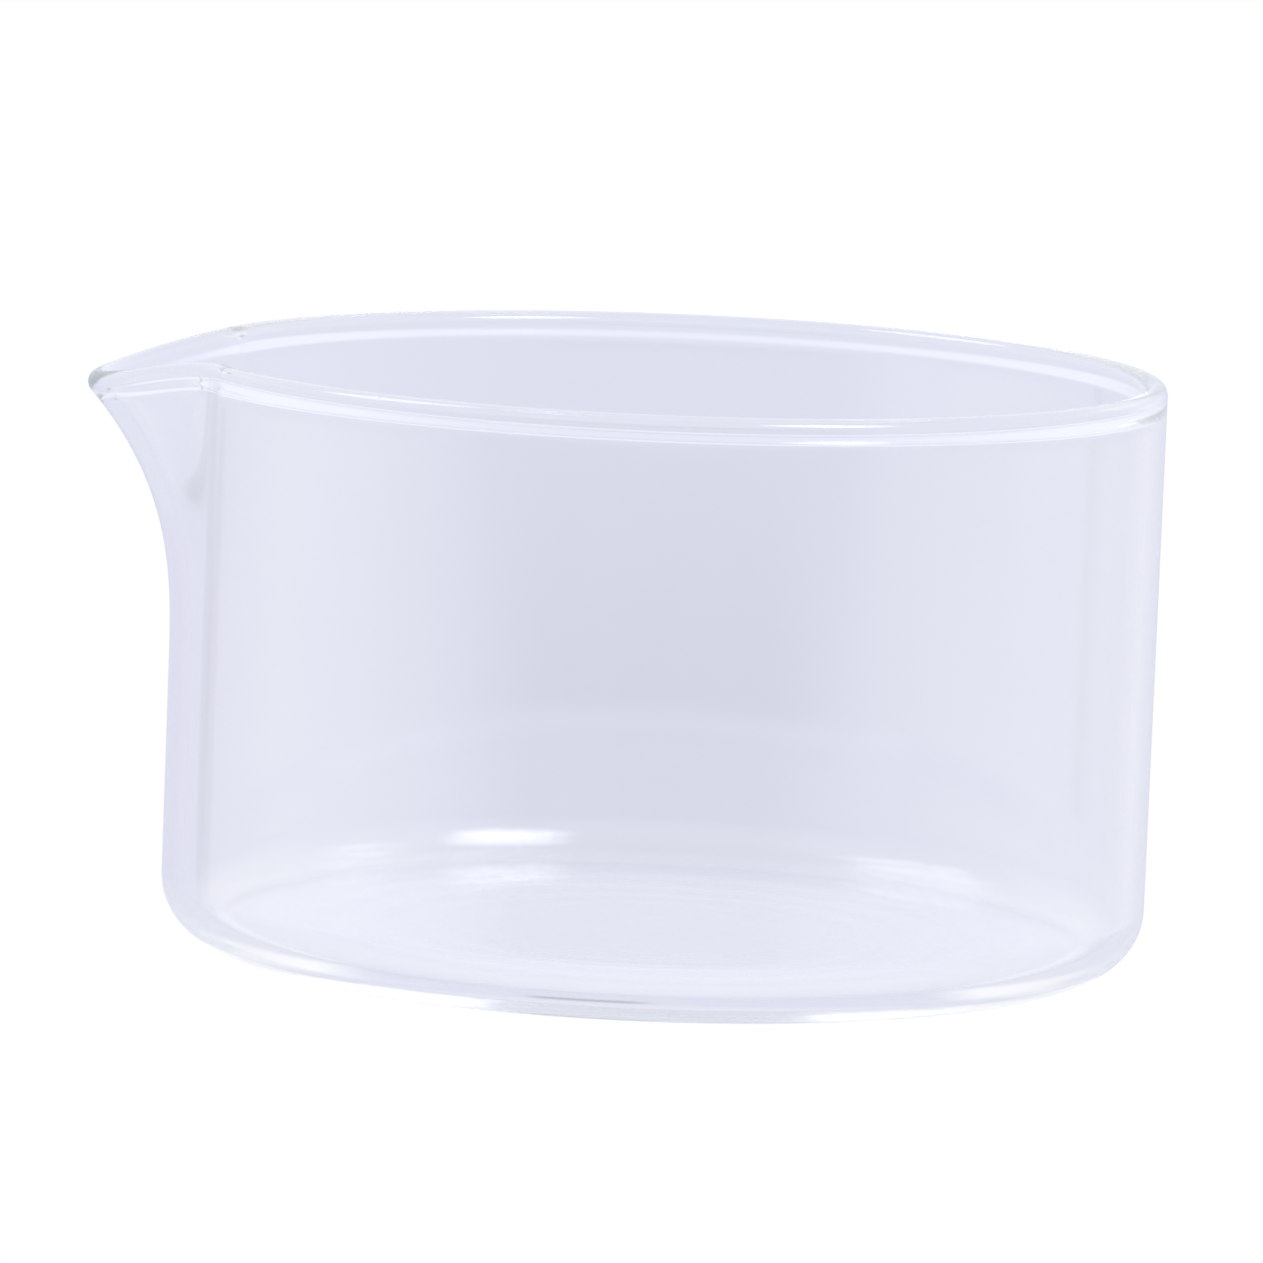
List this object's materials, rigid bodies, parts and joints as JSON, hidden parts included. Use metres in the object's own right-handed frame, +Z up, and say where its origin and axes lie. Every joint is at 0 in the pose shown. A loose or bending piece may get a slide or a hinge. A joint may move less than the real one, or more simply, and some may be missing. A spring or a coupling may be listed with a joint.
{
  "type": "crystallising dish",
  "caption": "Low, wide, flat-bottomed clear glass laboratory dish with straight walls, a rounded rim and a pouring spout.",
  "frame": {"origin": "centre of the base's flat underside, on the axis of the round wall", "axes": "+Z up along the wall's axis, -X out through the middle of the spout, Y across"},
  "size_m": [0.1037, 0.095, 0.057],
  "materials": {
    "clear_glass": "clear borosilicate glass, fire-polished, very faint blue-violet cast"
  },
  "bodies": {
    "root": {"dish": "clear_glass"}
  },
  "joints": []
}
